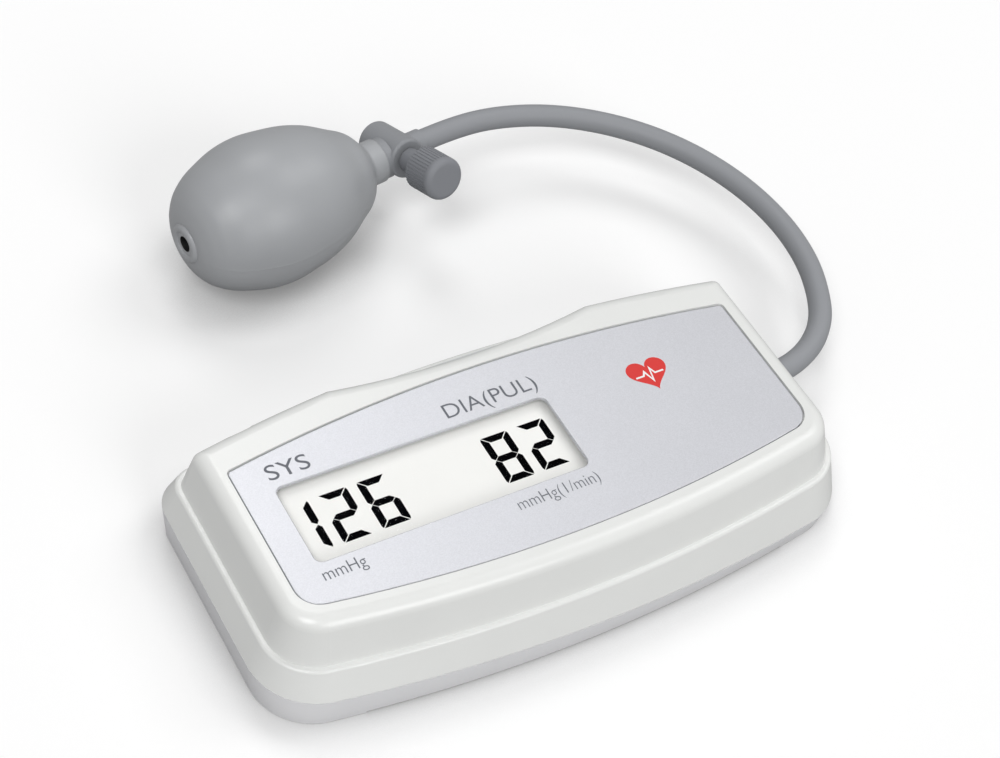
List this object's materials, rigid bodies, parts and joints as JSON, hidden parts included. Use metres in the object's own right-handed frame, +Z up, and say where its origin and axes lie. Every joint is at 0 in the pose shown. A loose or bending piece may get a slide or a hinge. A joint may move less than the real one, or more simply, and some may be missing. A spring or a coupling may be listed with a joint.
{
  "type": "upper-arm blood pressure monitor with hand bulb",
  "caption": "Semi-automatic upper-arm blood pressure monitor: bowed tabletop casing with display, start button and cuff socket, and a hand bulb with release valve on a hose.",
  "frame": {"origin": "middle of the footprint that the casing and the bulb take up together, on the surface they rest on", "axes": "+X along the casing towards the hose inlet, +Y from the casing's front towards its back and the bulb, +Z up"},
  "size_m": [0.2055, 0.1726, 0.043],
  "materials": {
    "casing": "satin, very fine grain",
    "panel": "satin silver print",
    "lens": "clear, polished",
    "lcd": "satin, pale grey-white",
    "inner_plastic": "plain moulded",
    "elastomer": "striped conductive strip",
    "board": "solder mask",
    "switch": "plain moulded",
    "button": "satin",
    "grey_plastic": "satin",
    "brass": "turned",
    "tube": "matt",
    "bulb_rubber": "smooth satin moulded",
    "hose_rubber": "smooth satin",
    "valve_plastic": "satin",
    "knob_plastic": "satin, fluted",
    "steel": "nickel plated",
    "cell": "printed sleeve"
  },
  "bodies": {
    "monitor": {"air_manifold": "inner_plastic", "battery_cell_1": "cell", "battery_cell_2": "cell", "battery_cell_3": "cell", "battery_cell_4": "cell", "bulb": "bulb_rubber", "casing_screw_1": "steel", "casing_screw_2": "steel", "casing_screw_3": "steel", "casing_screw_4": "steel", "circuit_board": "board", "contact_plate_1": "steel", "contact_plate_2": "steel", "contact_plate_3": "steel", "contact_plate_4": "steel", "contact_plate_5": "steel", "contact_spring_1": "steel", "contact_spring_2": "steel", "contact_spring_3": "steel", "contact_spring_4": "steel", "contact_strip": "elastomer", "cuff_socket": "grey_plastic", "cuff_tube": "tube", "display_frame": "inner_plastic", "display_glass": "lcd", "display_lens": "lens", "front_panel": "panel", "hose": "hose_rubber", "hose_inlet": "grey_plastic", "inlet_tube": "tube", "inlet_valve_body": "valve_plastic", "lower_casing": "casing", "pressure_sensor": "inner_plastic", "push_switch": "switch", "sensor_tube": "tube", "slow_release_valve": "brass", "stem_ring": "tube", "upper_casing": "casing", "valve_body": "valve_plastic"},
    "door": {"battery_door": "casing"},
    "button": {"start_button": "button"},
    "inlet_ball": {"inlet_valve_ball": "steel"},
    "check_disc": {"check_valve_disc": "tube"},
    "knob": {"release_knob": "knob_plastic", "release_needle": "brass"}
  },
  "joints": [
    {"name": "door_swing", "type": "hinge", "parent": "monitor", "child": "door", "pos_m": [0, -0.0152, 0.0018], "axis": [1, 0, 0], "range_deg": [0, 70]},
    {"name": "start_press", "type": "slide", "parent": "monitor", "child": "button", "axis": [0, -1, 0], "range_m": [0, 0.0006], "stiffness_N_per_m": 1000},
    {"name": "ball_lift", "type": "slide", "parent": "monitor", "child": "inlet_ball", "axis": [0.9877, 0.1564, 0], "range_m": [0, 0.0008]},
    {"name": "disc_lift", "type": "slide", "parent": "monitor", "child": "check_disc", "axis": [0.9877, 0.1564, 0], "range_m": [0, 0.001]},
    {"name": "knob_turn", "type": "hinge", "parent": "monitor", "child": "knob", "pos_m": [0.02315, 0.07168, 0.0215], "axis": [0.1484, -0.9366, 0.3173], "range_deg": [0, 720]}
  ]
}
